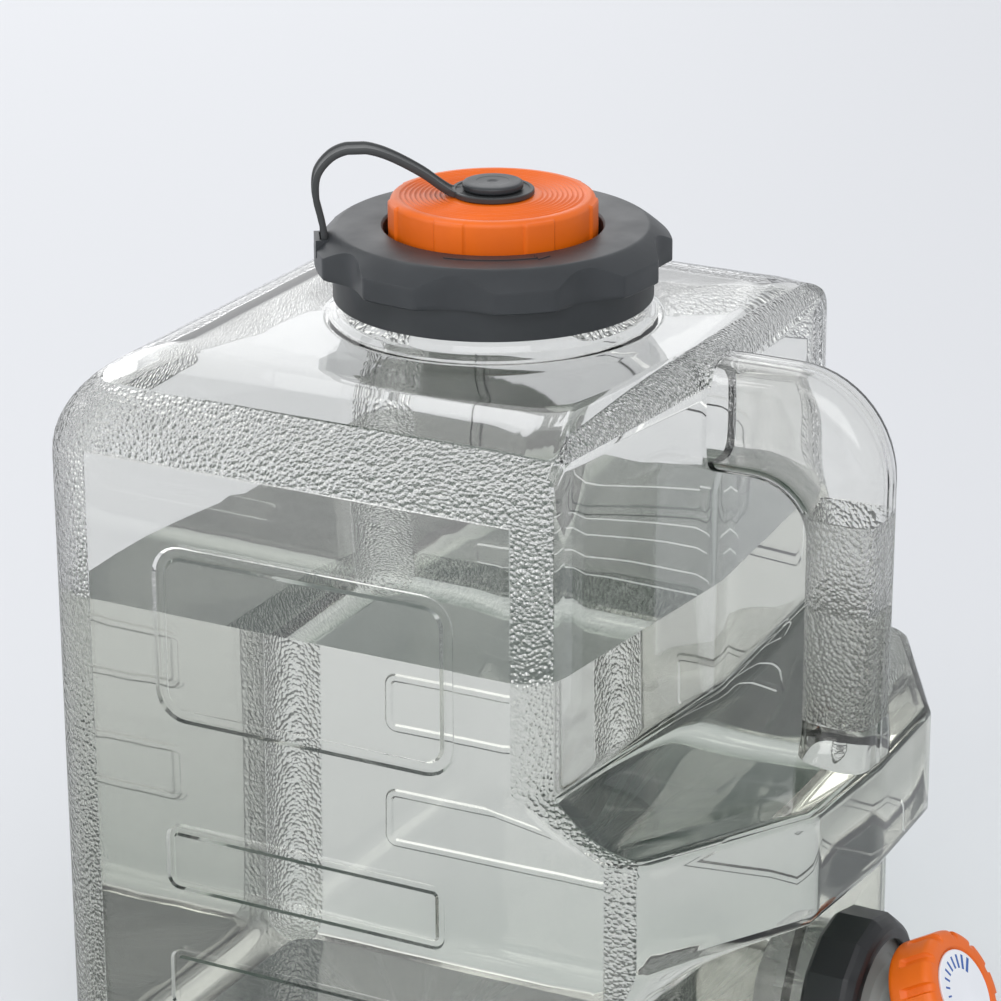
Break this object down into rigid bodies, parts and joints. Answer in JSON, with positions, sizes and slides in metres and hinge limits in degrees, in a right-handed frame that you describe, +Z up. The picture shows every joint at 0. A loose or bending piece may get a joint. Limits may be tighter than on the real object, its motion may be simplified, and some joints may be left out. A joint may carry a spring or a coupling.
{
  "type": "water jug",
  "caption": "Large clear water jug with a hollow moulded front handle, a wide screw lid with a tethered pouring cap, and a turn tap low on the front.",
  "frame": {"origin": "on the resting face, under the neck's vertical axis", "axes": "+Z up along the neck's axis; -Y is the front, with the handle, the belly and the tap; X across the width"},
  "size_m": [0.24, 0.3237, 0.3552],
  "materials": {
    "clear_shell": "clear blow-moulded polycarbonate, faint grey-green tint",
    "slate_plastic": "fine satin moulded polypropylene, dark slate grey",
    "orange_plastic": "satin moulded polypropylene, orange",
    "black_plastic": "satin moulded plastic, near black",
    "grey_plastic": "satin moulded plastic, mid grey",
    "white_seal": "soft silicone seal",
    "black_rubber": "moulded seal rubber",
    "steel": "stainless steel screw",
    "printed_label": "white printed plastic disc"
  },
  "bodies": {
    "jug": {"jug_body": "clear_shell"},
    "lid_carrier": {"lid_gasket": "white_seal"},
    "lid": {"lid": "slate_plastic", "tether_strap": "slate_plastic"},
    "cap_carrier": {"cap_gasket": "white_seal", "tether_button": "slate_plastic"},
    "pour_cap": {"pour_cap": "orange_plastic"},
    "tap": {"tap_body": "grey_plastic", "tap_gasket": "white_seal", "tap_bonnet": "grey_plastic", "bonnet_o_ring": "black_rubber"},
    "tap_nut": {"tap_nut": "black_plastic"},
    "washer_carrier": {"seat_washer": "black_rubber"},
    "tap_knob": {"tap_stem": "grey_plastic", "stem_o_ring_inner": "black_rubber", "stem_o_ring_outer": "black_rubber", "tap_knob": "orange_plastic", "knob_screw": "steel", "knob_label": "printed_label"}
  },
  "joints": [
    {"name": "lid_lift", "type": "slide", "parent": "jug", "child": "lid_carrier", "axis": [0, 0, 1], "range_m": [0, 0.015]},
    {"name": "lid_turn", "type": "hinge", "parent": "lid_carrier", "child": "lid", "pos_m": [0, 0, 0.31], "axis": [0, 0, 1], "range_deg": [0, 900]},
    {"name": "cap_lift", "type": "slide", "parent": "lid", "child": "cap_carrier", "axis": [0, 0, 1], "range_m": [0, 0.01], "deforming": ["tether_strap"]},
    {"name": "cap_turn", "type": "hinge", "parent": "cap_carrier", "child": "pour_cap", "pos_m": [0, 0, 0.325], "axis": [0, 0, 1], "range_deg": [0, 900]},
    {"name": "tap_draw", "type": "slide", "parent": "jug", "child": "tap", "axis": [0, -1, 0], "range_m": [0, 0.009]},
    {"name": "tap_nut_turn", "type": "hinge", "parent": "tap", "child": "tap_nut", "pos_m": [0, -0.15, 0.0474], "axis": [0, -1, 0], "range_deg": [0, 1080]},
    {"name": "washer_lift", "type": "slide", "parent": "tap", "child": "washer_carrier", "axis": [0, -0.866, 0.5], "range_m": [0, 0.00375]},
    {"name": "knob_turn", "type": "hinge", "parent": "washer_carrier", "child": "tap_knob", "pos_m": [0, -0.1774, 0.0511], "axis": [0, -0.866, 0.5], "range_deg": [0, 270]}
  ],
  "couplings": [
    {"joint": "lid_lift", "follows": "lid_turn", "m_per_rad": 0.00095493},
    {"joint": "cap_lift", "follows": "cap_turn", "m_per_rad": 0.00063662},
    {"joint": "tap_draw", "follows": "tap_nut_turn", "m_per_rad": 0.00047746},
    {"joint": "washer_lift", "follows": "knob_turn", "m_per_rad": 0.00079577}
  ]
}
